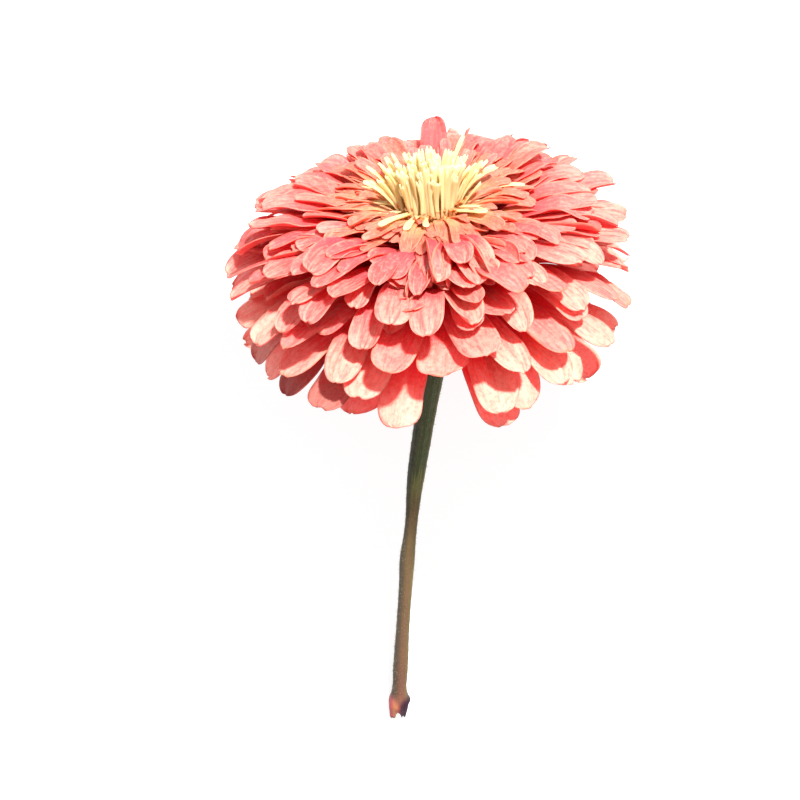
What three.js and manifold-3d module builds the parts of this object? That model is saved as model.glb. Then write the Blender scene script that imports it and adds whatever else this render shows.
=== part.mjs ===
// A zinnia cut with its stem and laid on a table: one double bloom 100 mm across.
// Millimetres, +Z up, the table at z = 0, the bloom towards +Y and the stem towards -Y.
// The flower is shaped upright first, in a frame of its own: its axis is +Z, the middle
// of the bloom's top is the origin, and -Y is the side that ends up on top once it lies.
import * as THREE from "three";
import { mergeVertices } from "three/addons/utils/BufferGeometryUtils.js";
import Module from "manifold-3d";

const wasm = await Module();
wasm.setup();

// How the flower lies: its axis rises by LYING_TILT from the table, and ORIGIN_HEIGHT is
// the height of the flower's origin. LYING_SHIFT centres the whole on the part's origin.
const LYING_TILT = 19;
const ORIGIN_HEIGHT = 50.4;
const LYING_SHIFT = { x: 0.7, y: 61.7 };

// Petals that meet the table bend over it: below SOFT_HEIGHT their heights shrink towards
// -SOFT_DEPTH, they slide back by SLIDE_BACK of that, and the table cuts a small flat spot.
const SOFT_HEIGHT = 3;
const SOFT_DEPTH = 0.6;
const SLIDE_BACK = 0.7;

// The receptacle, the solid core that every floret grows from
const CORE_TOP_Z = -1.4;
const CORE_BOTTOM_Z = -33;
const CORE_PROFILE = [
  [0, CORE_BOTTOM_Z],
  [8.4, CORE_BOTTOM_Z],
  [9.8, -28],
  [9.6, -14],
  [9, -3.2],
  [8.4, CORE_TOP_Z],
  [0, CORE_TOP_Z],
];
const CORE_SIDES = 14;

// Ray florets: a spiral of petals from the lowest, outermost one to the innermost.
// A stage gives the measures at a share of the way: where the petal leaves the core and
// where its tip is, its slopes there in degrees above level, and its width.
const RAY_COUNT = 190;
const RAY_SEED = 11;
const RAY_THICKNESS = 0.8;
const ROOT_SUNK = 2.4;
const RAY_STAGES = [
  { share: 0.0, rootZ: -27, tipR: 43, tipZ: -41, rise: 12, fall: -58, width: 12.6 },
  { share: 0.11, rootZ: -24.5, tipR: 49.5, tipZ: -33, rise: 17, fall: -46, width: 13 },
  { share: 0.22, rootZ: -22, tipR: 51.5, tipZ: -24.5, rise: 21, fall: -36, width: 13 },
  { share: 0.33, rootZ: -19, tipR: 51, tipZ: -16, rise: 26, fall: -28, width: 12.6 },
  { share: 0.44, rootZ: -16, tipR: 50, tipZ: -9, rise: 30, fall: -22, width: 12 },
  { share: 0.55, rootZ: -13, tipR: 47.5, tipZ: -3.6, rise: 33, fall: -15, width: 11 },
  { share: 0.66, rootZ: -10.5, tipR: 42.5, tipZ: 0, rise: 34, fall: -10, width: 9.8 },
  { share: 0.77, rootZ: -8, tipR: 35, tipZ: 2.2, rise: 35, fall: -5, width: 8 },
  { share: 0.88, rootZ: -5.6, tipR: 26, tipZ: 3, rise: 34, fall: 0, width: 6 },
  { share: 1.0, rootZ: -3.4, tipR: 16, tipZ: 3, rise: 28, fall: 14, width: 4 },
];
// The petals of the flat top stand a little higher at the back than in front
const BACK_LIFT = 1.8;
// Share of the length and of the half width where a petal's outline turns
const RAY_OUTLINE = [
  [0, 0.24],
  [0.34, 0.56],
  [0.63, 0.94],
  [0.85, 0.98],
  [0.97, 0.64],
];
const SHORT_RAY_OUTLINE = [
  [0, 0.45],
  [0.45, 0.8],
  [0.84, 1],
  [0.97, 0.6],
];
// Petals past this share of the spiral are short and take the shorter outline
const SHORT_FROM = 0.7;
// One petal at the back stands up over the tuft
const STANDING_RAY = { azimuth: 1.48, share: 0.7, tipR: 29, tipZ: 12, rise: 40, fall: 40 };
// Over the stem the petals below this share of the spiral part. Their midlines, crowded
// together within the reach on either side, stay at least half a gap from its azimuth.
const STEM_GAP = { azimuth: -1.5, below: 0.16, half: 0.24, reach: 0.6 };
const GOLDEN_ANGLE = Math.PI * (3 - Math.sqrt(5));

// Centre florets: a tuft of upright straps on a low cushion
const CENTRE_COUNT = 46;
const CENTRE_SEED = 5;
const CENTRE_WIDTH = 1.8;
const CENTRE_THICKNESS = 0.9;
const CENTRE_SPREAD = 8;
const CUSHION_BOTTOM_Z = CORE_TOP_Z + 0.3;
const CUSHION_TOP_Z = 0.6;

// Involucre: the green cup of overlapping bracts under the bloom
const CUP_BOTTOM_Z = -38;
const CUP_CLEARANCE = 0.3;
const CUP_WALL = 1;
const CUP_RIM_Z = -29;
const CUP_SIDES = 20;
// Rows of bracts: how many, where they grow, their size and their slope above level
const BRACT_ROWS = [
  { count: 7, z: -37.4, length: 4.8, width: 5.2, slope: 28 },
  { count: 9, z: -36.3, length: 6.2, width: 6.4, slope: 50 },
  { count: 10, z: -33.8, length: 6.2, width: 6.8, slope: 78 },
];
const BRACT_THICKNESS = 0.9;
const BRACT_SUNK = 0.4;

// Stem: its radius at depths below the bloom's top, and its sideways and vertical drift
const STEM_TOP_Z = CUP_BOTTOM_Z - 0.3;
const STEM_SIDES = 12;
const STEM_RIDGES = 0.05;
const STEM_STATIONS = [
  { z: STEM_TOP_Z, x: 0, y: 0, r: 3.6 },
  { z: -42, x: -0.9, y: 0, r: 3.0 },
  { z: -50, x: -2.8, y: 0.1, r: 2.9 },
  { z: -58, x: -4.6, y: 0.2, r: 2.75 },
  { z: -66, x: -6.2, y: 0.3, r: 2.6 },
  { z: -74, x: -7.8, y: 0.4, r: 2.45 },
  { z: -82, x: -9.2, y: 0.4, r: 2.1 },
  { z: -89, x: -10.2, y: 0.3, r: 1.75 },
  { z: -96, x: -11.3, y: 0.2, r: 1.75 },
  { z: -100, x: -12, y: 0.1, r: 2 },
  { z: -112, x: -13.5, y: -0.2, r: 1.85 },
  { z: -124, x: -15, y: -0.5, r: 1.85 },
  { z: -136, x: -16.4, y: -0.9, r: 2.1 },
  { z: -145, x: -17.4, y: -1, r: 2.25 },
  { z: -147.5, x: -17.7, y: -1.1, r: 2.8 },
  { z: -150.5, x: -18, y: -1.1, r: 2.6 },
  { z: -153, x: -18.3, y: -1, r: 2.2 },
];
// The notch torn into the stem's end
const NOTCH_DEPTH = 3.6;
const NOTCH_WIDTH = 2.6;

// Repeatable random numbers between two limits
function seededRandom(seed) {
  let state = seed;
  return (low, high) => {
    state = (state * 48271) % 2147483647;
    return low + (high - low) * (state / 2147483647);
  };
}

// A value of the stages at a share, straight between the stages on either side
function stageValue(share, key) {
  const next = Math.max(1, RAY_STAGES.findIndex((stage) => stage.share >= share));
  const from = RAY_STAGES[next - 1];
  const to = RAY_STAGES[next];
  return THREE.MathUtils.mapLinear(share, from.share, to.share, from[key], to[key]);
}

// The core's radius at a height
function coreRadius(z) {
  const upper = CORE_PROFILE.findIndex(([, pointZ], index) => index > 1 && pointZ >= z);
  const [fromR, fromZ] = CORE_PROFILE[upper - 1];
  const [toR, toZ] = CORE_PROFILE[upper];
  return THREE.MathUtils.mapLinear(z, fromZ, toZ, fromR, toR);
}

// The placement that lays the upright flower on the table
const onTable = new THREE.Matrix4()
  .makeTranslation(LYING_SHIFT.x, LYING_SHIFT.y, ORIGIN_HEIGHT)
  .multiply(new THREE.Matrix4().makeRotationX(THREE.MathUtils.degToRad(LYING_TILT - 90)));

// Bends a laid point that is close to the table or under it
function pressOnTable(point) {
  if (point.z >= SOFT_HEIGHT) return point;
  const reach = SOFT_HEIGHT + SOFT_DEPTH;
  const pressed = reach * Math.exp((point.z - SOFT_HEIGHT) / reach) - SOFT_DEPTH;
  point.y -= SLIDE_BACK * (pressed - point.z);
  point.z = pressed;
  return point;
}

// A closed mesh's geometry as a solid
function solidOf(geometry) {
  const bare = geometry.clone();
  bare.deleteAttribute("normal");
  bare.deleteAttribute("uv");
  const merged = mergeVertices(bare, 1e-4);
  const vertProperties = new Float32Array(merged.attributes.position.array);
  const triVerts = new Uint32Array(merged.index.array);
  return new wasm.Manifold(new wasm.Mesh({ numProp: 3, vertProperties, triVerts }));
}

// A solid as geometry: its largest body alone, with what fusing sealed inside it filled
function geometryOf(solid) {
  const bodies = solid.decompose();
  bodies.sort((a, b) => b.volume() - a.volume());
  const mesh = bodies[0].getMesh();
  const geometry = new THREE.BufferGeometry();
  geometry.setAttribute("position", new THREE.BufferAttribute(mesh.vertProperties, 3));
  geometry.setIndex(new THREE.BufferAttribute(mesh.triVerts, 1));
  return geometry;
}

// Fuses what grows from a base with it
function fuse(base, pieces) {
  return pieces.reduce((whole, piece) => whole.add(piece), base);
}

// A solid from its corners and its faces, each face a list of corners seen from outside
function polyhedron(corners, faces) {
  const geometry = new THREE.BufferGeometry().setFromPoints(corners);
  const triangles = [];
  for (const face of faces)
    for (let i = 2; i < face.length; i++) triangles.push(face[0], face[i - 1], face[i]);
  geometry.setIndex(triangles);
  return solidOf(geometry);
}

// A blade: rows of four corners (left, top, right, bottom), closed at the root and
// drawn together in a point at the tip. Both faces are split into triangles alike.
function blade(rows, tip) {
  const corners = rows.flatMap((row) => row).concat([tip]);
  const tipCorner = corners.length - 1;
  const faces = [[3, 2, 1, 0]];
  for (let row = 1; row < rows.length; row++) {
    const a = 4 * (row - 1);
    const b = 4 * row;
    faces.push([a, a + 1, b + 1], [a, b + 1, b]);
    faces.push([a + 1, a + 2, b + 2], [a + 1, b + 2, b + 1]);
    faces.push([a + 2, a + 3, b + 3], [a + 2, b + 3, b + 2]);
    faces.push([a + 3, a, b], [a + 3, b, b + 3]);
  }
  const last = 4 * (rows.length - 1);
  for (let side = 0; side < 4; side++)
    faces.push([last + side, last + ((side + 1) % 4), tipCorner]);
  return polyhedron(corners, faces);
}

// A ray floret's azimuth once a low one has turned aside from the gap over the stem
function besideGap(share, azimuth) {
  const off = azimuth - STEM_GAP.azimuth;
  const from = Math.atan2(Math.sin(off), Math.cos(off));
  if (share > STEM_GAP.below || Math.abs(from) > STEM_GAP.reach) return azimuth;
  const crowding = (STEM_GAP.reach - STEM_GAP.half) / STEM_GAP.reach;
  return azimuth + Math.sign(from) * (STEM_GAP.half + Math.abs(from) * (crowding - 1));
}

// The measures of every ray floret, drawn in the spiral's order
function rayMeasures() {
  const draw = seededRandom(RAY_SEED);
  const measures = [];
  for (let index = 0; index < RAY_COUNT; index++) {
    const share = index / (RAY_COUNT - 1);
    const value = (key) => stageValue(share, key);
    const azimuth = besideGap(share, index * GOLDEN_ANGLE + draw(-0.06, 0.06));
    measures.push({
      share,
      azimuth,
      rootZ: value("rootZ"),
      tipR: value("tipR") + draw(-1.6, 1.6),
      tipZ: value("tipZ") + draw(-1.3, 1.3) + BACK_LIFT * share * Math.sin(azimuth),
      rise: value("rise") + draw(-4, 4),
      fall: value("fall") + draw(-14, 14),
      halfWidth: (value("width") / 2) * draw(0.86, 1.06),
      cup: draw(-0.22, 0.3),
      roll: draw(-0.22, 0.22),
      swing: draw(-0.07, 0.07),
    });
  }
  const standing = nearestRay(measures, STANDING_RAY);
  Object.assign(standing, STANDING_RAY, { share: standing.share, roll: 0, swing: 0 });
  return measures;
}

// The ray floret that grows nearest to a share of the spiral and an azimuth
function nearestRay(measures, { share, azimuth }) {
  const distance = (floret) =>
    Math.abs(floret.share - share) * 4 + 1 - Math.cos(floret.azimuth - azimuth);
  return measures.reduce((a, b) => (distance(b) < distance(a) ? b : a));
}

// A ray floret's midline in the plane of its axis and its azimuth
function rayMidline(floret) {
  const root = new THREE.Vector2(coreRadius(floret.rootZ) - ROOT_SUNK, floret.rootZ);
  const tip = new THREE.Vector2(floret.tipR, floret.tipZ);
  const span = root.distanceTo(tip);
  const towards = (degrees, length) => {
    const angle = THREE.MathUtils.degToRad(degrees);
    return new THREE.Vector2(Math.cos(angle) * length, Math.sin(angle) * length);
  };
  const leaving = root.clone().add(towards(floret.rise, span * 0.4));
  const arriving = tip.clone().sub(towards(floret.fall, span * 0.36));
  return new THREE.CubicBezierCurve(root, leaving, arriving, tip);
}

// The place and the sideways and upward directions of a ray floret at a share of its length
function rayFrame(floret, midline, along) {
  const point = midline.getPoint(along);
  const tangent = midline.getTangent(along);
  const azimuth = floret.azimuth + floret.swing * along * along;
  const outward = new THREE.Vector3(Math.cos(azimuth), Math.sin(azimuth), 0);
  const around = new THREE.Vector3(-Math.sin(azimuth), Math.cos(azimuth), 0);
  const upward = outward.clone().multiplyScalar(-tangent.y).setZ(tangent.x);
  const place = outward.clone().multiplyScalar(point.x).setZ(point.y);
  const roll = floret.roll * along;
  const side = around.clone().multiplyScalar(Math.cos(roll));
  side.addScaledVector(upward, Math.sin(roll));
  const normal = upward.clone().multiplyScalar(Math.cos(roll));
  normal.addScaledVector(around, -Math.sin(roll));
  return { place, side, normal };
}

function rayFloret(floret) {
  const midline = rayMidline(floret);
  const onBlade = (frame, across, lift) => {
    const corner = frame.place.clone().addScaledVector(frame.side, across);
    corner.addScaledVector(frame.normal, lift);
    return pressOnTable(corner.applyMatrix4(onTable));
  };
  const outline = floret.share > SHORT_FROM ? SHORT_RAY_OUTLINE : RAY_OUTLINE;
  const rows = outline.map(([along, halfShare]) => {
    const frame = rayFrame(floret, midline, along);
    const half = floret.halfWidth * halfShare;
    const edgeLift = floret.cup * half * along;
    return [
      onBlade(frame, half, edgeLift),
      onBlade(frame, 0, RAY_THICKNESS / 2),
      onBlade(frame, -half, edgeLift),
      onBlade(frame, 0, -RAY_THICKNESS / 2),
    ];
  });
  return blade(rows, onBlade(rayFrame(floret, midline, 1), 0, 0));
}

// A body turned about the flower's axis, laid on the table
function turned(profile, sides) {
  const points = profile.map(([r, z]) => new THREE.Vector2(r, z));
  const geometry = new THREE.LatheGeometry(points, sides);
  geometry.rotateX(Math.PI / 2);
  return solidOf(geometry.applyMatrix4(onTable));
}

function rayFlorets() {
  return fuse(turned(CORE_PROFILE, CORE_SIDES), rayMeasures().map(rayFloret));
}

// One strap of the tuft. Those at the back and the sides lean out, those in front stand.
function centreFloret(index, draw) {
  const spread = Math.sqrt((index + 0.5) / CENTRE_COUNT);
  const azimuth = index * GOLDEN_ANGLE + draw(-0.2, 0.2);
  const facingFront = Math.max(0, -Math.sin(azimuth));
  const lean = spread * spread * (40 - 30 * facingFront) + draw(-4, 4);
  const length = 16 - 3 * spread + draw(-1.5, 1.5);
  const turn = azimuth + draw(-0.6, 0.6);
  const outward = new THREE.Vector3(Math.cos(azimuth), Math.sin(azimuth), 0);
  const side = new THREE.Vector3(-Math.sin(turn), Math.cos(turn), 0);
  const heading = (degrees) => {
    const angle = THREE.MathUtils.degToRad(degrees);
    return outward.clone().multiplyScalar(Math.sin(angle)).setZ(Math.cos(angle));
  };
  const root = outward.clone().multiplyScalar(CENTRE_SPREAD * spread);
  root.z = CUSHION_TOP_Z - 1.2;
  const middle = root.clone().addScaledVector(heading(lean - 4), length * 0.55);
  const end = middle.clone().addScaledVector(heading(lean + 6), length * 0.45);
  const row = (place, widthShare) => {
    const face = new THREE.Vector3().crossVectors(side, new THREE.Vector3(0, 0, -1));
    const corner = (across, lift) =>
      place
        .clone()
        .addScaledVector(side, (across * CENTRE_WIDTH * widthShare) / 2)
        .addScaledVector(face, (lift * CENTRE_THICKNESS) / 2)
        .applyMatrix4(onTable);
    return [corner(1, 0), corner(0, 1), corner(-1, 0), corner(0, -1)];
  };
  const tip = end.clone().addScaledVector(heading(lean + 6), 0.7).applyMatrix4(onTable);
  return blade([row(root, 0.8), row(middle, 0.9), row(end, 1.15)], tip);
}

function centreFlorets() {
  const draw = seededRandom(CENTRE_SEED);
  const cushion = [
    [0, CUSHION_BOTTOM_Z],
    [CENTRE_SPREAD - 0.5, CUSHION_BOTTOM_Z],
    [CENTRE_SPREAD - 0.4, -0.4],
    [CENTRE_SPREAD - 2, CUSHION_TOP_Z],
    [0, CUSHION_TOP_Z],
  ];
  const straps = [];
  for (let index = 0; index < CENTRE_COUNT; index++) straps.push(centreFloret(index, draw));
  return fuse(turned(cushion, CORE_SIDES), straps);
}

// One bract: a broad rounded scale that grows up and a little out of the cup
function bract(row, azimuth) {
  const outward = new THREE.Vector3(Math.cos(azimuth), Math.sin(azimuth), 0);
  const side = new THREE.Vector3(-Math.sin(azimuth), Math.cos(azimuth), 0);
  const slope = THREE.MathUtils.degToRad(row.slope);
  const heading = outward.clone().multiplyScalar(Math.cos(slope)).setZ(Math.sin(slope));
  const face = outward.clone().multiplyScalar(Math.sin(slope)).setZ(-Math.cos(slope));
  const root = outward.clone().multiplyScalar(cupRadius(row.z) - BRACT_SUNK).setZ(row.z);
  const at = (along, across, lift) =>
    root
      .clone()
      .addScaledVector(heading, along * row.length)
      .addScaledVector(side, (across * row.width) / 2)
      .addScaledVector(face, lift - 0.5 * across * across)
      .applyMatrix4(onTable);
  const outline = [
    [0, 0.7],
    [0.45, 1],
    [0.8, 0.8],
  ];
  const rows = outline.map(([along, half]) => [
    at(along, half, 0),
    at(along, 0, -BRACT_THICKNESS / 2),
    at(along, -half, 0),
    at(along, 0, BRACT_THICKNESS / 2),
  ]);
  return blade(rows, at(1, 0, 0));
}

// The cup's outer radius at a height
function cupRadius(z) {
  const full = coreRadius(CUP_RIM_Z) + CUP_CLEARANCE + CUP_WALL;
  const share = THREE.MathUtils.clamp((z - CUP_BOTTOM_Z) / 4, 0, 1);
  return THREE.MathUtils.lerp(5.2, full, Math.sqrt(share));
}

function involucre() {
  const inner = (z) => coreRadius(z) + CUP_CLEARANCE;
  const floorZ = CORE_BOTTOM_Z - CUP_CLEARANCE;
  const cup = [
    [0, CUP_BOTTOM_Z],
    [cupRadius(CUP_BOTTOM_Z), CUP_BOTTOM_Z],
    [cupRadius(-37), -37],
    [cupRadius(-35.5), -35.5],
    [cupRadius(-33), -33],
    [cupRadius(CUP_RIM_Z), CUP_RIM_Z],
    [inner(CUP_RIM_Z), CUP_RIM_Z],
    [inner(CORE_BOTTOM_Z), floorZ],
    [0, floorZ],
  ];
  const bracts = BRACT_ROWS.flatMap((row, rowIndex) =>
    Array.from({ length: row.count }, (_, index) =>
      bract(row, ((index + rowIndex / 2) / row.count) * 2 * Math.PI),
    ),
  );
  return fuse(turned(cup, CUP_SIDES), bracts);
}

// A wedge that tears a notch into the stem's end
function endNotch(end) {
  const half = NOTCH_WIDTH / 2;
  const wedge = new THREE.Shape([
    new THREE.Vector2(-half, -1),
    new THREE.Vector2(half, -1),
    new THREE.Vector2(0.2, NOTCH_DEPTH),
  ]);
  const geometry = new THREE.ExtrudeGeometry(wedge, { depth: 12, bevelEnabled: false });
  geometry.translate(0, 0, -6).rotateX(Math.PI / 2);
  return solidOf(geometry.translate(end.x, end.y, end.z).applyMatrix4(onTable));
}

function stem() {
  const corners = [];
  for (const station of STEM_STATIONS)
    for (let side = 0; side < STEM_SIDES; side++) {
      const angle = (side / STEM_SIDES) * 2 * Math.PI;
      const radius = station.r * (1 + (side % 2 ? STEM_RIDGES : -STEM_RIDGES));
      const x = station.x + Math.cos(angle) * radius;
      const y = station.y + Math.sin(angle) * radius;
      corners.push(new THREE.Vector3(x, y, station.z).applyMatrix4(onTable));
    }
  const ring = Array.from({ length: STEM_SIDES }, (_, side) => side);
  const lastRing = STEM_SIDES * (STEM_STATIONS.length - 1);
  const faces = [ring, ring.map((side) => lastRing + side).reverse()];
  for (let row = 0; row + 1 < STEM_STATIONS.length; row++)
    for (const side of ring) {
      const a = row * STEM_SIDES + side;
      const b = row * STEM_SIDES + ((side + 1) % STEM_SIDES);
      faces.push([a, a + STEM_SIDES, b + STEM_SIDES, b]);
    }
  const end = STEM_STATIONS[STEM_STATIONS.length - 1];
  return polyhedron(corners, faces).subtract(endNotch(end));
}

// What a solid keeps above the table, with small flat spots where it rests
function aboveTable(solid) {
  const underTable = new THREE.BoxGeometry(400, 400, 20).translate(0, 0, -10);
  return solid.subtract(solidOf(underTable));
}

// A named mesh for a piece, in its own material
function piece(name, solid, color, roughness) {
  const material = new THREE.MeshStandardMaterial({ color, roughness, metalness: 0 });
  const mesh = new THREE.Mesh(geometryOf(solid), material);
  mesh.name = name;
  return mesh;
}

const head = new THREE.Group();
head.add(piece("ray_florets", aboveTable(rayFlorets()), 0xf08078, 0.6));
head.add(piece("centre_florets", centreFlorets(), 0xf6e7a0, 0.6));
head.add(piece("involucre", involucre(), 0x5f7a35, 0.7));

const flower = new THREE.Group();
flower.add(head);
flower.add(piece("stem", aboveTable(stem()), 0x6d6a3c, 0.7));

export default flower;
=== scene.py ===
"""A cut double zinnia lying on a pale table: fine petals, tuft, bracts and stem.

Shapes are worked out upright, in millimetres in the flower's own frame: its axis is +Z,
the middle of the bloom's top is the origin and -Y is the side that lies uppermost, called
the front. Azimuths, turns, rolls and swings are in radians, other angles in degrees.
"""
import math
from dataclasses import dataclass
from types import SimpleNamespace

import bpy
import numpy as np
from mathutils import Matrix, Vector


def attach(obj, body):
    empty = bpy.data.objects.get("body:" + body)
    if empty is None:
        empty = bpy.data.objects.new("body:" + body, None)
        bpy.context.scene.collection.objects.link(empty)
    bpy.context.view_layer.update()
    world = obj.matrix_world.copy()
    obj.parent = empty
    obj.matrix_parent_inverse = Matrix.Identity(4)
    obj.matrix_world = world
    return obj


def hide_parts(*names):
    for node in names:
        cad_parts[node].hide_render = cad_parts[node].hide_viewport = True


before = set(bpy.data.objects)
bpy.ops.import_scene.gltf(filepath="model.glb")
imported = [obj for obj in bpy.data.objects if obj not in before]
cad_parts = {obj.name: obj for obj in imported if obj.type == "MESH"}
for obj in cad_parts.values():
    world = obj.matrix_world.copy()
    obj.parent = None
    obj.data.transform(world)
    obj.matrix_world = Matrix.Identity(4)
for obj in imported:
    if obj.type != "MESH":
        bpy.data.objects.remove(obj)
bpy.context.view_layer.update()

MM = 0.001
GOLDEN_ANGLE = math.pi * (3 - math.sqrt(5))

# How the flower lies, as in the solids
LYING_TILT = 19
ORIGIN_HEIGHT = 50.4
LYING_SHIFT = (0.7, 61.7)
SOFT_HEIGHT = 3
SOFT_DEPTH = 0.15
SLIDE_BACK = 0.7
TABLE_CLEARANCE = 0.02

# A turned shape's sides, and the hole that it keeps at its axis
TURNED_SIDES = 64
AXIS_HOLE_R = 0.1

# The receptacle's radius at its heights
CORE_BOTTOM_Z = -33
CORE_TOP_Z = -1.4
CORE_HEIGHTS = (CORE_BOTTOM_Z, -28, -14, -3.2, CORE_TOP_Z)
CORE_RADII = (8.4, 9.8, 9.6, 9, 8.4)
CORE_CHAMFER = 0.4

# Ray florets, measured as in the solids
RAY_COUNT = 190
RAY_SEED = 11
ROOT_SUNK = 2.4
STAGE_SHARES = (0, 0.11, 0.22, 0.33, 0.44, 0.55, 0.66, 0.77, 0.88, 1)
RAY_STAGES = {
    "root_z": (-27, -24.5, -22, -19, -16, -13, -10.5, -8, -5.6, -3.4),
    "tip_r": (43, 49.5, 51.5, 51, 50, 47.5, 42.5, 35, 26, 16),
    "tip_z": (-41, -33, -24.5, -16, -9, -3.6, 0, 2.2, 3, 3),
    "rise": (12, 17, 21, 26, 30, 33, 34, 35, 34, 28),
    "fall": (-58, -46, -36, -28, -22, -15, -10, -5, 0, 14),
    "width": (12.6, 13, 13, 12.6, 12, 11, 9.8, 8, 6, 4),
}
BACK_LIFT = 1.8
SHORT_FROM = 0.7

# The one floret that stands up behind the tuft: the place that it is chosen for, its measures,
# and whose colours it has, as a share and as a part of a floret's length
STANDING_AT = SimpleNamespace(azimuth=1.48, share=0.7)
STANDING_RAY = {"tip_r": 29, "tip_z": 12, "rise": 40, "fall": 40, "cup": 0.1, "roll": 0, "swing": 0}
STANDING_TIER = 0.6
STANDING_LENGTH = 0.74

# Where the photo's outline leaves the even rows: azimuth, share, change of reach
OUTLINE_CHANGES = (
    (2.3, 0.66, -6),
    (-0.42, 0.05, -4.5),
    (-0.25, 0.14, -4),
    (3.1, 0.34, 2.6),
    (0.5, 0.54, 3),
)
CHANGED_AZIMUTHS = 0.3
CHANGED_SHARES = 0.09

# The low florets part over the stem. The one that would hang over it is lifted and drawn in,
# and those beside it on the right turn a little towards the gap
STEM_GAP = SimpleNamespace(azimuth=-1.5, below=0.16, half=0.24, reach=0.6)
OVER_STEM = SimpleNamespace(within=0.12, below=0.25, lift=5.5, shorten=3)
GAP_NARROWED = 0.085

# What only the fine petals have
PETAL_SEED = 29
UNEVEN_SEED = 23
BETWEEN_COUNT = 92
BETWEEN_SEED = 37
INNER_COUNT = 150
INNER_SEED = 53
CURLED_COUNT = 11
CURLED_SEED = 83
CURLED_AZIMUTH = -1.42
CURLED_ROOT_Z = -8
BACK_COUNT = 9
BACK_SEED = 61
BACK_ROOT_Z = -3.4
TWIST_SEED = 7
TWIST_AZIMUTH = -1.25
TWIST_SHARES = (0.6, 0.86)
TWIST_REACH = 0.3
PETAL_GRID = (26, 13)
SMALL_PETAL_GRID = (18, 9)
PETAL_THICKNESS = 0.45
# Where painted shade, in maroon, falls on the lowest florets
PAINTED_SHADE_AZIMUTH = 3.75
# Where painted light turns the petals' ends cream, most on this side
PAINTED_LIGHT_AZIMUTH = -0.4
LOW_UNTIL = 0.34
MIDDLE_UNTIL = 0.68

# Centre florets, as in the solids, and the fine ones between them
CENTRE_COUNT = 46
CENTRE_SEED = 5
CENTRE_WIDTH = 1.8
CENTRE_SPREAD = 8
CUSHION_BOTTOM_Z = CORE_TOP_Z + 0.3
CUSHION_TOP_Z = 0.6
CUSHION_RIM_R = CENTRE_SPREAD - 0.4
STRAP_SUNK = 1.2
STRAP_THICKNESS = 0.3
STRAP_GRID = (15, 7)
STRAP_BEND = 0.55
FILLER_COUNT = 60
FILLER_SEED = 17
FRONT_COUNT = 24
FRONT_SEED = 19
# Pale florets that lie out from the tuft: azimuth and lean in degrees, length, half width
QUILLS = (
    (177, 79, 11.5, 1.0),
    (205, 84, 9, 0.8),
    (229, 80, 13, 0.9),
    (246, 83, 9.5, 0.85),
    (262, 84, 7, 0.7),
    (318, 78, 11, 1.0),
    (335, 84, 9, 0.75),
    (351, 80, 8, 0.9),
    (8, 76, 17, 0.75),
    (18, 52, 12.5, 0.8),
    (35, 74, 15, 0.75),
    (60, 46, 16, 0.6),
    (120, 70, 14, 0.7),
    (150, 74, 13, 0.7),
    (165, 55, 11, 0.8),
)
QUILL_SEED = 41
QUILL_ROOT_R = 7.4
PALEA_COUNT = 90
PALEA_SEED = 71
PALEA_THICKNESS = 0.2
PALEA_GRID = (7, 5)

# Involucre
CUP_BOTTOM_Z = -38
CUP_RIM_Z = -29
CUP_BOTTOM_R = 5.2
CUP_ROUNDING = 4
CUP_RINGS = 16
CUP_GAP = 0.3
CUP_NARROWING = 1.3
CUP_WALL = 1
BRACT_ROWS = (
    {"count": 7, "z": -37.4, "length": 5.2, "width": 5.8, "slope": 28},
    {"count": 9, "z": -36.3, "length": 6.6, "width": 7.2, "slope": 50},
    {"count": 10, "z": -33.8, "length": 6.6, "width": 7.6, "slope": 78},
)
BRACT_SEED = 13
BRACT_GRID = (14, 13)
BRACT_THICKNESS = 0.45
BRACT_SUNK = 0.4
BRACT_CURVE_R = 9

# Stem: height, sideways drift, drift away from the upper side, radius
STEM_STATIONS = (
    (-38.3, 0, 0, 3.6),
    (-42, -0.9, 0, 3.0),
    (-50, -2.8, 0.1, 2.9),
    (-58, -4.6, 0.2, 2.75),
    (-66, -6.2, 0.3, 2.6),
    (-74, -7.8, 0.4, 2.45),
    (-82, -9.2, 0.4, 2.1),
    (-89, -10.2, 0.3, 1.75),
    (-96, -11.3, 0.2, 1.75),
    (-100, -12, 0.1, 2),
    (-112, -13.5, -0.2, 1.85),
    (-124, -15, -0.5, 1.85),
    (-136, -16.4, -0.9, 2.1),
    (-145, -17.4, -1, 2.25),
    (-147.5, -17.7, -1.1, 2.8),
    (-150.5, -18, -1.1, 2.6),
    (-153, -18.3, -1, 2.2),
)
STEM_TOP_Z = STEM_STATIONS[0][0]
STEM_END_Z = STEM_STATIONS[-1][0]
STEM_SIDES = 72
# Level rings down to a height, then rings that take on the torn edge's shape
LEVEL_RINGS = 170
LEVEL_UNTIL_Z = -146.5
TORN_RINGS = 10
PITH_Z = LEVEL_UNTIL_Z - 1.6
# The rings inside the torn edge: how broad they are, and how far up on the way to the pith
INSIDE_RINGS = ((0.86, 0), (0.78, 0.4), (0.7, 0.9))
# How broad the last rings are, which close the skin at its top and at the pith
TOP_CLOSED = 0.02
PITH_CLOSED = 0.03
LUMP_Z = -147.4
LUMP_REACH = 0.9
HAIR_SEED = 3
HAIR_COUNT = 1500
HAIR_HEIGHTS = (-145, -39)
HAIR_LENGTHS = (0.35, 0.8)
HAIR_HALF_WIDTH = 0.045
HAIR_SUNK = 0.08
HAIR_CLEARANCE = 0.05

# The photo's view, in the flower's frame: how far the camera looks down, its roll, its
# distance, and where the picture's middle is from the flower's origin, right and down
VIEW_ELEVATION = 28
VIEW_ROLL = 4.3
VIEW_DISTANCE = 600
VIEW_MIDDLE = (-7.5, -48.25)
LENS = 108
SENSOR_WIDTH = 36

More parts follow.
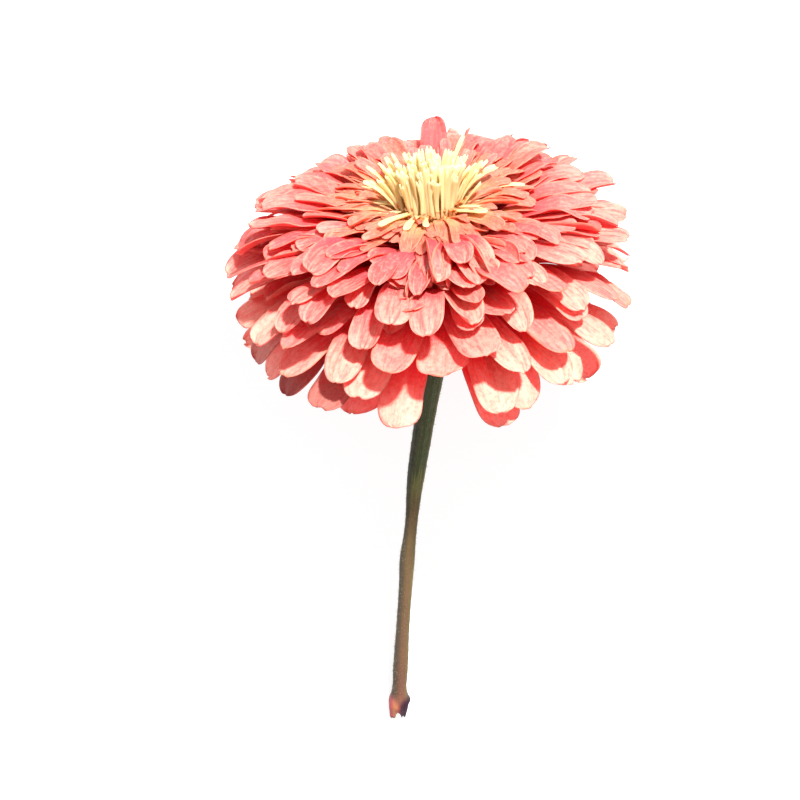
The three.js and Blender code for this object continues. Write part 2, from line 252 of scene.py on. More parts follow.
# The key light: its angle from the flower's axis, its turn to the right and its breadth
KEY_FROM_AXIS = 36
KEY_TO_RIGHT = 22
KEY_STRENGTH = 12
KEY_BREADTH = 4
KEY_COLOR = (1.0, 0.98, 0.95)

# The white sky, brighter below this steepness than above it
HORIZON_STRENGTH = 1.0
SKY_STRENGTH = 0.74
HORIZON_STEEPNESS = (0.1, 0.3)

# The table: half its size in metres, its grey, and the glow that keeps it pale
TABLE_HALF = 30
TABLE_GREY = 0.34
TABLE_GLOW = 0.78


def seeded_random(seed):
    """Repeatable random numbers between two limits."""
    state = seed

    def draw(low, high):
        nonlocal state
        state = state * 48271 % 2147483647
        return low + (high - low) * (state / 2147483647)

    return draw


def either_way(draw):
    return 1 if draw(-1, 1) > 0 else -1


def spiral(count, draw, jitter, offset=0):
    """Indices and azimuths along a spiral, each azimuth drawn when it is asked for."""
    for index in range(count):
        yield index, index * GOLDEN_ANGLE + offset + draw(-jitter, jitter)


def smoothstep(low, high, value):
    share = np.clip((value - low) / (high - low), 0, 1)
    return share * share * (3 - 2 * share)


def unit(vectors):
    return vectors / np.linalg.norm(vectors, axis=-1, keepdims=True)


def lay(points):
    """Points of the upright flower, laid on the table in the part's frame."""
    angle = math.radians(LYING_TILT - 90)
    x, y, z = np.moveaxis(np.asarray(points, dtype=float), -1, 0)
    return np.stack(
        (
            x + LYING_SHIFT[0],
            y * math.cos(angle) - z * math.sin(angle) + LYING_SHIFT[1],
            y * math.sin(angle) + z * math.cos(angle) + ORIGIN_HEIGHT,
        ),
        axis=-1,
    )


def press(points):
    """Bends laid points that are close to the table or under it."""
    reach = SOFT_HEIGHT + SOFT_DEPTH
    height = points[..., 2]
    low = height < SOFT_HEIGHT
    pressed = reach * np.exp((np.minimum(height, SOFT_HEIGHT) - SOFT_HEIGHT) / reach)
    pressed -= SOFT_DEPTH
    slide = np.where(low, SLIDE_BACK * (pressed - height), 0)
    result = points.copy()
    result[..., 1] -= slide
    result[..., 2] = np.where(low, np.maximum(pressed, TABLE_CLEARANCE), height)
    return result


def outwards(azimuth):
    return np.stack((np.cos(azimuth), np.sin(azimuth), np.zeros_like(azimuth)), axis=-1)


def sideways(azimuth):
    return np.stack((-np.sin(azimuth), np.cos(azimuth), np.zeros_like(azimuth)), axis=-1)


def spot(azimuth, radius, z):
    return np.array((math.cos(azimuth) * radius, math.sin(azimuth) * radius, z))


def facing_front(azimuth):
    return max(0, -math.sin(azimuth))


def facing_back(azimuth):
    return facing_front(-azimuth)


def between_azimuths(azimuth, other):
    """The turn from another azimuth to this one, at most half a circle either way."""
    return math.remainder(azimuth - other, math.tau)


def core_radius(z):
    return float(np.interp(z, CORE_HEIGHTS, CORE_RADII))


class Shape:
    """Vertices, faces and values for each vertex, gathered into one mesh."""

    def __init__(self):
        self.points = []
        self.faces = []
        self.values = {}
        self.count = 0

    def add(self, points, faces, **values):
        points = np.asarray(points).reshape(-1, 3)
        self.points.append(points)
        self.faces.extend((np.asarray(faces) + self.count).tolist())
        for name, value in values.items():
            filled = np.broadcast_to(np.asarray(value, dtype=float), (len(points),))
            self.values.setdefault(name, []).append(filled)
        self.count += len(points)

    def piece(self, name, material, slot, *nodes):
        """The finished piece, riding on the one body, in place of the named solids."""
        mesh = bpy.data.meshes.new(name)
        mesh.from_pydata(np.concatenate(self.points) * MM, [], self.faces)
        for value_name, parts in self.values.items():
            layer = mesh.attributes.new(value_name, "FLOAT", "POINT")
            layer.data.foreach_set("value", np.concatenate(parts).astype(np.float32))
        mesh.shade_smooth()
        mesh.materials.append(material)
        piece = bpy.data.objects.new(name, mesh)
        bpy.context.collection.objects.link(piece)
        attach(piece, "root")
        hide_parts(*nodes)


def grid_faces(rows, columns):
    """Faces of a thin solid between an upper and a lower grid of the same size."""
    index = np.arange(rows * columns).reshape(rows, columns)
    under = index + rows * columns
    upper = np.stack((index[:-1, :-1], index[1:, :-1], index[1:, 1:], index[:-1, 1:]), -1)
    lower = np.stack((under[:-1, :-1], under[:-1, 1:], under[1:, 1:], under[1:, :-1]), -1)
    rim = np.concatenate((index[:, 0], index[-1, 1:], index[-2::-1, -1], index[0, -2:0:-1]))
    following = np.roll(rim, -1)
    size = rows * columns
    edge = np.stack((rim, rim + size, following + size, following), -1)
    return np.concatenate((upper.reshape(-1, 4), lower.reshape(-1, 4), edge))


def add_sheet(shape, surface, thickness, place=lay, **values):
    """A thin closed sheet round a grid of points, with its values on both faces."""
    rows, columns = surface.shape[:2]
    lengthways = np.gradient(surface, axis=0)
    crossways = np.gradient(surface, axis=1)
    normal = unit(np.cross(lengthways, crossways))
    half = np.broadcast_to(thickness, (rows, columns))[..., None] / 2
    points = place(np.stack((surface + normal * half, surface - normal * half)))
    both = {
        name: np.stack([np.broadcast_to(value, (rows, columns))] * 2).ravel()
        for name, value in values.items()
    }
    both["upper"] = np.repeat((1, 0), rows * columns)
    shape.add(points, grid_faces(rows, columns), **both)


def shares_to_tip(rows):
    """Shares of the way along a sheet, closer together towards its tip."""
    return 1 - (1 - np.linspace(0, 1, rows)) ** 1.5


def grid_shares(along, columns):
    """How far along and across each point of a grid is."""
    return np.meshgrid(along, np.linspace(-1, 1, columns), indexing="ij")


def swept(midline, aside, lift, pull):
    """A surface along a midline: how far each point is aside, lifted and drawn back."""
    place, direction, side, normal = midline
    surface = place[:, None] + side[:, None] * aside[..., None]
    return surface + normal[:, None] * lift[..., None] - direction[:, None] * pull[..., None]


def ring_faces(rings, sides):
    """Faces between rings that follow each other, facing out where the rings go up."""
    index = np.arange(rings * sides).reshape(rings, sides)
    following = np.roll(index, -1, axis=1)
    quads = np.stack((index[:-1], following[:-1], following[1:], index[1:]), -1)
    return quads.reshape(-1, 4)


def make_turned(name, material, node, radii, heights, **values):
    """A piece turned about the flower's axis."""
    ring = outwards(np.linspace(0, math.tau, TURNED_SIDES, endpoint=False))
    rings = [ring * radius + np.array((0, 0, z)) for radius, z in zip(radii, heights)]
    shape = Shape()
    shape.add(lay(rings), ring_faces(len(rings), TURNED_SIDES), **values)
    shape.piece(name, material, node, node)


def cubic(root, leaving, arriving, tip, share):
    """Places and directions on a cubic curve through the flower's half plane."""
    t = share[:, None]
    place = (
        (1 - t) ** 3 * root
        + 3 * (1 - t) ** 2 * t * leaving
        + 3 * (1 - t) * t**2 * arriving
        + t**3 * tip
    )
    direction = (
        (1 - t) ** 2 * (leaving - root)
        + 2 * (1 - t) * t * (arriving - leaving)
        + t**2 * (tip - arriving)
    )
    return place, unit(direction)


@dataclass
class Floret:
    """A ray floret: its share of the way from the bloom's back to its middle, and its measures.

    Rise and fall are its slopes at the root and at the tip, and swing takes its tip aside.
    """

    share: float
    azimuth: float
    root_z: float
    tip_r: float
    tip_z: float
    rise: float
    fall: float
    half_width: float
    cup: float
    roll: float
    swing: float
    standing: bool = False


def stage_at(share):
    """The measures between the stages at a share of the way from the back to the middle."""
    return {
        name: float(np.interp(share, STAGE_SHARES, values)) for name, values in RAY_STAGES.items()
    }


def beside_gap(share, azimuth):
    """A ray floret's azimuth once a low one has turned aside from the gap over the stem."""
    off = between_azimuths(azimuth, STEM_GAP.azimuth)
    if share > STEM_GAP.below or abs(off) > STEM_GAP.reach:
        return azimuth
    crowding = (STEM_GAP.reach - STEM_GAP.half) / STEM_GAP.reach
    return azimuth + math.copysign(STEM_GAP.half + abs(off) * (crowding - 1), off)


def ray_measures():
    """The measures of every ray floret, drawn in the spiral's order."""
    draw = seeded_random(RAY_SEED)
    florets = []
    for index, azimuth in spiral(RAY_COUNT, draw, 0.06):
        share = index / (RAY_COUNT - 1)
        stage = stage_at(share)
        azimuth = beside_gap(share, azimuth)
        florets.append(
            Floret(
                share=share,
                azimuth=azimuth,
                root_z=stage["root_z"],
                tip_r=stage["tip_r"] + draw(-1.6, 1.6),
                tip_z=stage["tip_z"] + draw(-1.3, 1.3) + BACK_LIFT * share * math.sin(azimuth),
                rise=stage["rise"] + draw(-4, 4),
                fall=stage["fall"] + draw(-14, 14),
                half_width=stage["width"] / 2 * draw(0.86, 1.06),
                cup=draw(-0.22, 0.3),
                roll=draw(-0.22, 0.22),
                swing=draw(-0.07, 0.07),
            )
        )
    stand_one_up(florets)
    return florets


def stand_one_up(florets):
    """Stands up the floret that is nearest to the standing one's place."""

    def distance(floret):
        turned = 1 - math.cos(floret.azimuth - STANDING_AT.azimuth)
        return abs(floret.share - STANDING_AT.share) * 4 + turned

    chosen = min(florets, key=distance)
    chosen.azimuth = STANDING_AT.azimuth
    chosen.standing = True
    for name, value in STANDING_RAY.items():
        setattr(chosen, name, value)


def towards(degrees, length):
    angle = math.radians(degrees)
    return np.array((math.cos(angle), math.sin(angle))) * length


def ray_midline(floret, along):
    """A ray floret's midline, and the directions along it, across it and up from it."""
    root = np.array((core_radius(floret.root_z) - ROOT_SUNK, floret.root_z))
    tip = np.array((floret.tip_r, floret.tip_z))
    span = np.linalg.norm(tip - root)
    leaving = root + towards(floret.rise, span * 0.4)
    arriving = tip - towards(floret.fall, span * 0.36)
    plane_place, plane_direction = cubic(root, leaving, arriving, tip, along)
    azimuth = floret.azimuth + floret.swing * along**2
    outward = outwards(azimuth)
    upright = np.array((0, 0, 1))
    place = outward * plane_place[:, :1] + upright * plane_place[:, 1:]
    direction = outward * plane_direction[:, :1] + upright * plane_direction[:, 1:]
    upward = upright * plane_direction[:, :1] - outward * plane_direction[:, 1:]
    roll = (floret.roll * along)[:, None]
    side = sideways(azimuth) * np.cos(roll) + upward * np.sin(roll)
    normal = upward * np.cos(roll) - sideways(azimuth) * np.sin(roll)
    return place, direction, side, normal


def ray_half_widths(floret, along, draw):
    """Half of a floret's width along it: narrow at the root, widest before its blunt tip."""
    base = 0.45 if floret.share > SHORT_FROM else 0.24
    outline = base + (1 - base) * smoothstep(0, 0.8, along)
    bluntness = draw(2.3, 3.3)
    shoulder = draw(0.79, 0.87)
    rounding = 1 - np.clip((along - shoulder) / (1 - shoulder), 0, 1) ** bluntness
    outline = outline * np.maximum(rounding, 0) ** (1 / bluntness)
    return floret.half_width * np.maximum(outline, draw(0.16, 0.34))


def ray_relief(floret, size, s, u, width, draw):
    """How far a floret rises from its midline's plane, and how far its tip is drawn back."""
    outer = smoothstep(0.3, 0.75, s)
    cup = floret.cup * width * s * np.abs(u) ** 1.8
    crease = draw(0.1, 0.75) * size
    crease = crease * np.exp(-((u / 0.14) ** 2)) * smoothstep(0, 0.2, s) * (1.2 - s)
    grooves = 0.2 * size * np.exp(-(((np.abs(u) - 0.48) / 0.13) ** 2)) * smoothstep(0.1, 0.4, s)
    ripple = draw(0.1, 0.85) * size
    waves = draw(1.8, 4.2)
    phases = draw(0, math.tau), draw(0, math.tau)
    phase = np.where(u < 0, phases[0], phases[1])
    ripple = ripple * np.sin(math.tau * waves * s + phase) * np.abs(u) ** 2.4 * outer
    curl = draw(-1.6, 2.4) * size * np.clip((s - 0.66) / 0.34, 0, 1) ** 2
    fold_side = either_way(draw)
    fold = max(0, draw(-2.2, 1.0)) * size
    fold = fold * 2.4 * smoothstep(0.35, 1, u * fold_side) * outer
    starts = draw(0, math.tau), draw(0, math.tau)
    dents = np.sin(5.3 * s + 2.1 * u + starts[0]) * np.sin(3.7 * u - 6.1 * s + starts[1])
    dents = 0.3 * size * dents * smoothstep(0, 0.4, s)
    notch = draw(-0.9, 0.75) * size * np.exp(-((u / 0.5) ** 2)) * smoothstep(0.85, 1, s)
    teeth = 0.12 * size * np.sin(5 * u + starts[0]) * smoothstep(0.9, 1, s)
    return cup - crease - grooves + ripple + curl + fold + dents, notch + teeth


def ray_surface(floret, draw, grid):
    """A ray floret's middle surface, and how far along and across each point is."""
    along = shares_to_tip(grid[0])
    s, u = grid_shares(along, grid[1])
    width = ray_half_widths(floret, along, draw)[:, None]
    size = floret.half_width / 6
    lift, pull = ray_relief(floret, size, s, u, width, draw)
    skew = draw(-0.14, 0.14) * floret.half_width * smoothstep(0.5, 1, s)
    bend = draw(-0.1, 0.1) * floret.half_width * np.sin(math.pi * s)
    return swept(ray_midline(floret, along), width * u + (skew + bend), lift, pull), s, u


def back_rays():
    """Small florets that stand up behind the tuft, round the tall one."""
    draw = seeded_random(BACK_SEED)
    return [
        Floret(
            share=draw(0.64, 0.84),
            azimuth=math.pi / 2 + 0.2 * (index - BACK_COUNT / 2 + 0.5) + draw(-0.08, 0.08),
            root_z=BACK_ROOT_Z,
            tip_r=draw(19, 25),
            tip_z=draw(6, 9),
            rise=draw(36, 48),
            fall=draw(14, 40),
            half_width=draw(1.5, 2.5),
            cup=draw(-0.2, 0.6),
            roll=draw(-0.3, 0.3),
            swing=draw(-0.1, 0.1),
        )
        for index in range(BACK_COUNT)
    ]


def curled_rays():
    """Small florets curled about themselves in front of the tuft."""
    draw = seeded_random(CURLED_SEED)
    return [
        Floret(
            share=draw(0.42, 0.5),
            azimuth=CURLED_AZIMUTH + 0.05 * (index - CURLED_COUNT / 2) + draw(-0.05, 0.05),
            root_z=CURLED_ROOT_Z,
            tip_r=draw(33, 42),
            tip_z=draw(-5, -1),
            rise=draw(32, 42),
            fall=draw(-50, 0),
            half_width=draw(1.8, 2.8),
            cup=draw(0.7, 1.5),
            roll=draw(0.3, 1.3) * either_way(draw),
            swing=draw(-0.15, 0.15),
        )
        for index in range(CURLED_COUNT)
    ]


def slimmer(floret):
    """How much narrower than its solid a fine floret is, so that those between show."""
    middle_rows = 0.19 * smoothstep(0.14, 0.38, floret.share)
    upper_rows = 0.05 * smoothstep(0.5, 0.66, floret.share)
    return 0.94 - middle_rows - upper_rows - 0.11 * smoothstep(0.72, 0.84, floret.share)


def dusk(floret):
    """How much painted shade, in maroon, a floret has: only the lowest on the left side have it."""
    aside = abs(between_azimuths(floret.azimuth, PAINTED_SHADE_AZIMUTH))
    return smoothstep(0.45, 0.25, aside) * smoothstep(0.17, 0.1, floret.share)


def faded(floret):
    """How far a floret's end goes cream, partly faded and partly painted light: most on the lower
    right side.
    """
    low_rows = 0.5 * smoothstep(0.34, 0.2, floret.share)
    facing = max(low_rows, math.cos(floret.azimuth - PAINTED_LIGHT_AZIMUTH))
    return facing * smoothstep(0.85, 0.45, floret.share)


def painted_tier(floret):
    """A floret's share for its colours: those above the stem take the lower rows' deep red, partly
    painted shade.
    """
    if floret.standing:
        return STANDING_TIER
    upper_rows = smoothstep(0.36, 0.5, floret.share) * smoothstep(0.84, 0.7, floret.share)
    return floret.share - 0.2 * facing_front(floret.azimuth) * upper_rows


def add_ray(shape, floret, draw, grid=PETAL_GRID):
    surface, s, u = ray_surface(floret, draw, grid)
    thickness = PETAL_THICKNESS * (1 - 0.6 * u**4) * (1 - 0.6 * smoothstep(0.8, 1, s))
    add_sheet(
        shape,
        surface,
        thickness,
        place=lambda points: press(lay(points)),
        along=s * STANDING_LENGTH if floret.standing else s,
        across=u,
        tone=draw(0, 1),
        tier=painted_tier(floret),
        dusk=dusk(floret),
        faded=faded(floret),
    )


def twist_cluster(florets):
    """Curls up the few small florets in front of the tuft that are turned about themselves."""
    draw = seeded_random(TWIST_SEED)
    for floret in florets:
        near = abs(between_azimuths(floret.azimuth, TWIST_AZIMUTH)) < TWIST_REACH
        if near and TWIST_SHARES[0] < floret.share < TWIST_SHARES[1]:
            floret.roll = draw(0.6, 1.5) * either_way(draw)
            floret.swing += draw(-0.15, 0.15)
            floret.cup = draw(0.5, 1.0)
            floret.half_width *= draw(0.6, 0.85)


def between_rays():
    """Smaller florets between those of the middle rows."""
    draw = seeded_random(BETWEEN_SEED)
    florets = []
    for index, azimuth in spiral(BETWEEN_COUNT, draw, 0.1, 0.7):
        share = 0.2 + 0.56 * math.sqrt(index / BETWEEN_COUNT)
        stage = stage_at(share)
        florets.append(
            Floret(
                share=share,
                azimuth=azimuth,
                root_z=stage["root_z"],
                tip_r=stage["tip_r"] * draw(0.86, 0.97),
                tip_z=stage["tip_z"] + draw(-0.5, 1.4) + BACK_LIFT * share * math.sin(azimuth),
                rise=stage["rise"] + draw(-2, 5),
                fall=stage["fall"] + draw(-14, 10),
                half_width=stage["width"] / 2 * draw(0.78, 1.0),
                cup=draw(-0.2, 0.45),
                roll=draw(-0.3, 0.3),
                swing=draw(-0.1, 0.1),
            )
        )
    return florets


def inner_rays():
    """Narrow florets that lie nearly flat round the foot of the tuft, the shortest on top."""
    draw = seeded_random(INNER_SEED)
    florets = []
    for index, azimuth in spiral(INNER_COUNT, draw, 0.2):
        inwards = index / INNER_COUNT
        front = facing_front(azimuth)
        reach = (28 - 3 * front) * (1 - (0.42 + 0.12 * front) * inwards) * draw(0.86, 1.06)
        lower = front * (3.4 - 2.2 * inwards) - BACK_LIFT * math.sin(azimuth) * 0.8
        florets.append(
            Floret(
                share=0.86 + 0.14 * inwards,
                azimuth=azimuth,
                root_z=CORE_TOP_Z + draw(-0.6, 0),
                tip_r=reach,
                tip_z=draw(1.4, 3.4) - lower,
                rise=draw(18, 34),
                fall=draw(-26, 0),
                half_width=draw(1.2, 2.0) * (reach / 20) ** 0.8,
                cup=draw(-0.2, 0.7),
                roll=draw(-0.45, 0.45),
                swing=draw(-0.16, 0.16),
            )
        )
    return florets


def reach_change(floret):
    """How much longer a floret is for the outline's sake, in millimetres."""
    change = 0
    for azimuth, share, length in OUTLINE_CHANGES:
        turn = between_azimuths(floret.azimuth, azimuth) / CHANGED_AZIMUTHS
        rise = (floret.share - share) / CHANGED_SHARES
        change += length * math.exp(-(turn**2) - rise**2)
    return change


def open_over_stem(floret):
    """Keeps the stem's top free, and the gap over it narrow."""
    off = between_azimuths(floret.azimuth, STEM_GAP.azimuth)
    if floret.share < STEM_GAP.below and off > 0:
        floret.azimuth -= GAP_NARROWED * smoothstep(1.0, 0.5, off)
    if abs(off) < OVER_STEM.within and floret.share < OVER_STEM.below:
        floret.tip_z += OVER_STEM.lift
        floret.tip_r -= OVER_STEM.shorten


def settle(floret, draw):
    """Makes a fine floret narrower, uneven, and lower next to the tuft's foot."""
    if floret.standing:
        floret.half_width *= 0.84
        return
    front, back = facing_front(floret.azimuth), facing_back(floret.azimuth)
    inmost = smoothstep(0.5, 0.8, floret.share)
    floret.tip_z -= inmost * (1.6 - 1.6 * back + 1.4 * front)
    floret.rise -= inmost * (6 - 6 * back + 12 * front)
    middle_rows = smoothstep(0.15, 0.4, floret.share) * smoothstep(0.95, 0.7, floret.share)
    floret.tip_z += middle_rows * draw(-2.4, 2.6)
    floret.tip_r += middle_rows * draw(-3.6, 0.8) * front
    floret.fall += middle_rows * draw(-12, 12)
    floret.tip_r += reach_change(floret)
    floret.half_width *= slimmer(floret) + 0.24 * middle_rows * math.sqrt(back)
    floret.cup += 0.2 * smoothstep(0.25, 0.5, floret.share)
    open_over_stem(floret)


def row_of(floret):
    """The piece that a ray floret belongs to."""
    if floret.share < LOW_UNTIL:
        return "low_petals"
    return "middle_petals" if floret.share < MIDDLE_UNTIL else "top_petals"


def make_rays(material):
    """The ray florets, in four pieces from the lowest to the innermost."""
    draw = seeded_random(PETAL_SEED)
    names = ("low_petals", "middle_petals", "top_petals", "inner_petals")
    shapes = {name: Shape() for name in names}
    florets = ray_measures()
    twist_cluster(florets)
    florets += between_rays()
    uneven = seeded_random(UNEVEN_SEED)
    for floret in florets:
        settle(floret, uneven)
    for floret in florets + back_rays() + curled_rays():
        add_ray(shapes[row_of(floret)], floret, draw)
    for floret in inner_rays():
        add_ray(shapes["inner_petals"], floret, draw, SMALL_PETAL_GRID)
    for name, shape in shapes.items():
        shape.piece(name, material, "ray_florets", "ray_florets")


def make_core(material):
    """The receptacle, seen only deep between the petals."""
    radii = (AXIS_HOLE_R, CORE_RADII[0] - CORE_CHAMFER, *CORE_RADII, AXIS_HOLE_R)
    heights = (CORE_BOTTOM_Z, CORE_BOTTOM_Z, *CORE_HEIGHTS, CORE_TOP_Z)
    make_turned("receptacle", material, "ray_florets", radii, heights)


def lean_heading(azimuth, degrees):
    angle = math.radians(degrees)
    return spot(azimuth, math.sin(angle), math.cos(angle))


def bent_line(root, azimuths, leans, length):
    """Where a strap starts, bends and ends, from its headings before and after the bend."""
    start, finish = map(lean_heading, azimuths, leans)
    bend = root + start * length * STRAP_BEND
    return root, bend, bend + finish * length * (1 - STRAP_BEND)


def strap_midline(line, turn, along):
    """A rounded way along a bent line, and its directions, with the width set by the turn."""
    root, bend, end = line
    t = along[:, None]
    place = (1 - t) ** 2 * root + 2 * (1 - t) * t * (2 * bend - (root + end) / 2) + t**2 * end
    direction = unit(np.gradient(place, axis=0))
    side = sideways(turn)
    side = unit(side - direction * np.sum(direction * side, axis=1, keepdims=True))
    return place, direction, side, np.cross(direction, side)


def add_strap(
    shape, line, turn, half_width, fold, lobes, tone, thickness=STRAP_THICKNESS, grid=STRAP_GRID
):
    """A narrow folded strap along a bent line, wider and two-lobed at its end."""
    along = np.linspace(0, 1, grid[0])
    s, u = grid_shares(along, grid[1])
    half = half_width * (0.7 + 0.45 * smoothstep(0.2, 0.85, s))
    half = half * np.sqrt(np.maximum(1 - (np.clip(s - 0.84, 0, 1) / 0.19) ** 2, 0.1))
    lift = fold * half_width * np.abs(u) ** 1.5
    pull = lobes * (np.cos(math.pi * u) - 0.2) * smoothstep(0.8, 1, s)
    surface = swept(strap_midline(line, turn, along), half * u, lift, pull)
    add_sheet(shape, surface, thickness, along=s, across=u, tone=tone)


def add_tuft_strap(shape, azimuth, turn, spread, lean, length, half_width, draw):
    """A strap of the tuft, bent a little sideways as it rises."""
    root = spot(azimuth, CENTRE_SPREAD * spread, CUSHION_TOP_Z - STRAP_SUNK)
    sway = np.array((draw(-0.5, 0.5), draw(-0.5, 0.5), 0))
    root, bend, end = bent_line(root, (azimuth, azimuth), (lean - 4, lean + 6), length)
    fold, lobes, tone = draw(0.25, 0.8), draw(0.2, 0.8), draw(0, 1)
    add_strap(shape, (root, bend + sway, end), turn, half_width, fold, lobes, tone)


def add_solid_straps(shape):
    """The straps that the solids have too."""
    draw = seeded_random(CENTRE_SEED)
    look = seeded_random(CENTRE_SEED + 1)
    for index, azimuth in spiral(CENTRE_COUNT, draw, 0.2):
        spread = math.sqrt((index + 0.5) / CENTRE_COUNT)
        lean = spread * spread * (40 - 30 * facing_front(azimuth)) + draw(-4, 4)
        length = 14.4 - (2.6 + 1.4 * facing_back(azimuth)) * spread + draw(-1.5, 1.5)
        turn = azimuth + draw(-0.6, 0.6)
        half_width = CENTRE_WIDTH / 2 * look(0.7, 1.05)
        add_tuft_strap(shape, azimuth, turn, spread, lean, length, half_width, look)


def add_filler_straps(shape):
    """Finer straps between those of the solids."""
    draw = seeded_random(FILLER_SEED)
    for index, azimuth in spiral(FILLER_COUNT, draw, 0.3, 1.1):
        spread = math.sqrt((index + 0.5) / FILLER_COUNT)
        front = facing_front(azimuth)
        lean = spread * spread * (48 - 44 * front) + draw(-8, 8 - 6 * front)
        length = draw(10.4 + 2 * front, 14.4) - 2 * spread
        turn = azimuth + draw(-1.4, 1.4)
        add_tuft_strap(shape, azimuth, turn, spread, lean, length, draw(0.45, 0.8), draw)


def add_front_straps(shape):
    """Fine upright straps along the front of the tuft."""
    draw = seeded_random(FRONT_SEED)
    for index in range(FRONT_COUNT):
        azimuth = -math.pi / 2 + 2.4 * ((index + 0.5) / FRONT_COUNT - 0.5) + draw(-0.06, 0.06)
        lean = draw(-3, 4) + 16 * abs(math.cos(azimuth)) ** 2
        turn = azimuth + draw(-0.4, 0.4)
        spread, length, half_width = draw(0.78, 0.98), draw(12, 15), draw(0.55, 0.85)
        add_tuft_strap(shape, azimuth, turn, spread, lean, length, half_width, draw)


def make_tuft(material):
    """The cream straps in the middle."""
    shape = Shape()
    add_solid_straps(shape)
    add_filler_straps(shape)
    add_front_straps(shape)
    shape.piece("centre_straps", material, "centre_florets", "centre_florets")


def make_quills(material):
    """Pale narrow florets that lie out from the tuft over the inner petals."""
    shape = Shape()
    draw = seeded_random(QUILL_SEED)
    for degrees, lean, length, half_width in QUILLS:
        azimuth = math.radians(degrees)
        root = spot(azimuth, QUILL_ROOT_R, CUSHION_TOP_Z)
        azimuths, leans = (azimuth, azimuth + draw(-0.2, 0.2)), (lean, lean + draw(0, 14))
        line = bent_line(root, azimuths, leans, length)
        turn = azimuth + draw(-0.5, 0.5)
        fold, lobes, tone = draw(0.2, 0.8), draw(0, 0.3), draw(0, 1)
        add_strap(shape, line, turn, half_width, fold, lobes, tone)
    shape.piece("cream_quills", material, "centre_florets", "centre_florets")


def make_cushion(material):
    """The low cushion that the tuft stands on."""
    rim = CUSHION_RIM_R
    radii = (AXIS_HOLE_R, rim - 0.2, rim, rim - 0.6, rim - 2, AXIS_HOLE_R)
    heights = (CUSHION_BOTTOM_Z, CUSHION_BOTTOM_Z, -0.5, 0.1, CUSHION_TOP_Z, CUSHION_TOP_Z + 0.2)
    make_turned("tuft_cushion", material, "centre_florets", radii, heights)


def make_paleae(material):
    """The small orange-brown scales round the foot of the tuft."""
    shape = Shape()
    draw = seeded_random(PALEA_SEED)
    for _, azimuth in spiral(PALEA_COUNT, draw, 0.2):
        radius, lean, length = draw(5.6, 9.2), draw(-25, 70), draw(1.6, 3.4)
        root = spot(azimuth, radius, draw(-0.8, 0.4))
        line = bent_line(root, (azimuth, azimuth), (lean, lean + draw(10, 60)), length)
        turn = azimuth + draw(-0.8, 0.8)
        half_width, fold, lobes, tone = draw(0.3, 0.6), draw(0.3, 0.9), 0.1, draw(0, 1)
        size = PALEA_THICKNESS, PALEA_GRID
        add_strap(shape, line, turn, half_width, fold, lobes, tone, *size)
    shape.piece("paleae", material, "centre_florets", "centre_florets")


def cup_radius(z):
    full = core_radius(CUP_RIM_Z) + (CUP_GAP + CUP_WALL)
    share = np.clip((z - CUP_BOTTOM_Z) / CUP_ROUNDING, 0, 1)
    return CUP_BOTTOM_R + (full - CUP_BOTTOM_R) * np.sqrt(share)


def make_cup(material):
    """The wall of the involucre, from under the stem's top round to the receptacle."""
    outer = np.linspace(CUP_BOTTOM_Z, CUP_RIM_Z, CUP_RINGS)
    inner = core_radius(CUP_RIM_Z) + CUP_GAP
    inside_z = CORE_BOTTOM_Z - CUP_GAP
    radii = (AXIS_HOLE_R, *cup_radius(outer), inner, inner - CUP_NARROWING, AXIS_HOLE_R)
    heights = (CUP_BOTTOM_Z, *outer, CUP_RIM_Z, inside_z, inside_z)
    values = {"along": 0.3, "across": 0, "tone": 0.5, "upper": 1}
    make_turned("involucre_cup", material, "involucre", radii, heights, **values)


def bract_surface(row, row_index, azimuth, slope, along, s, u):
    """A broad rounded scale that stands on the cup, curved round it."""
    out = outwards(azimuth)
    upright = np.array((0, 0, 1))
    heading = out * math.cos(slope) + upright * math.sin(slope)
    face = out * math.sin(slope) - upright * math.cos(slope)
    root = out * (cup_radius(row["z"]) - BRACT_SUNK) + upright * row["z"]
    rounding = np.maximum(1 - np.clip((along - 0.45) / 0.55, 0, 1) ** 2.4, 0) ** (1 / 2.4)
    half = row["width"] / 2 * (0.7 + 0.3 * smoothstep(0, 0.5, along)) * np.maximum(rounding, 0.08)
    across_mm = half[:, None] * u
    curve = -(across_mm**2) / (2 * BRACT_CURVE_R)
    bend = curve - 0.5 * smoothstep(0.4, 1, s) + 0.5 * smoothstep(0, 0.3, s)
    fringe = 0.18 * np.sin(u * 31 + row_index) * smoothstep(0.9, 1, s)
    length = row["length"] * s + fringe
    surface = root + heading * length[..., None] + sideways(azimuth) * across_mm[..., None]
    return surface + face * bend[..., None]


def make_bracts(material):
    """Broad rounded scales in rows, each row over the joints of the next."""
    shape = Shape()
    draw = seeded_random(BRACT_SEED)
    along = shares_to_tip(BRACT_GRID[0])
    s, u = grid_shares(along, BRACT_GRID[1])
    for row_index, row in enumerate(BRACT_ROWS):
        for index in range(row["count"]):
            azimuth = (index + row_index / 2) / row["count"] * math.tau + draw(-0.05, 0.05)
            slope = math.radians(row["slope"] + draw(-3, 3))
            surface = bract_surface(row, row_index, azimuth, slope, along, s, u)
            add_sheet(shape, surface, BRACT_THICKNESS, along=s, across=u, tone=draw(0, 1))
    shape.piece("bracts", material, "involucre", "involucre")


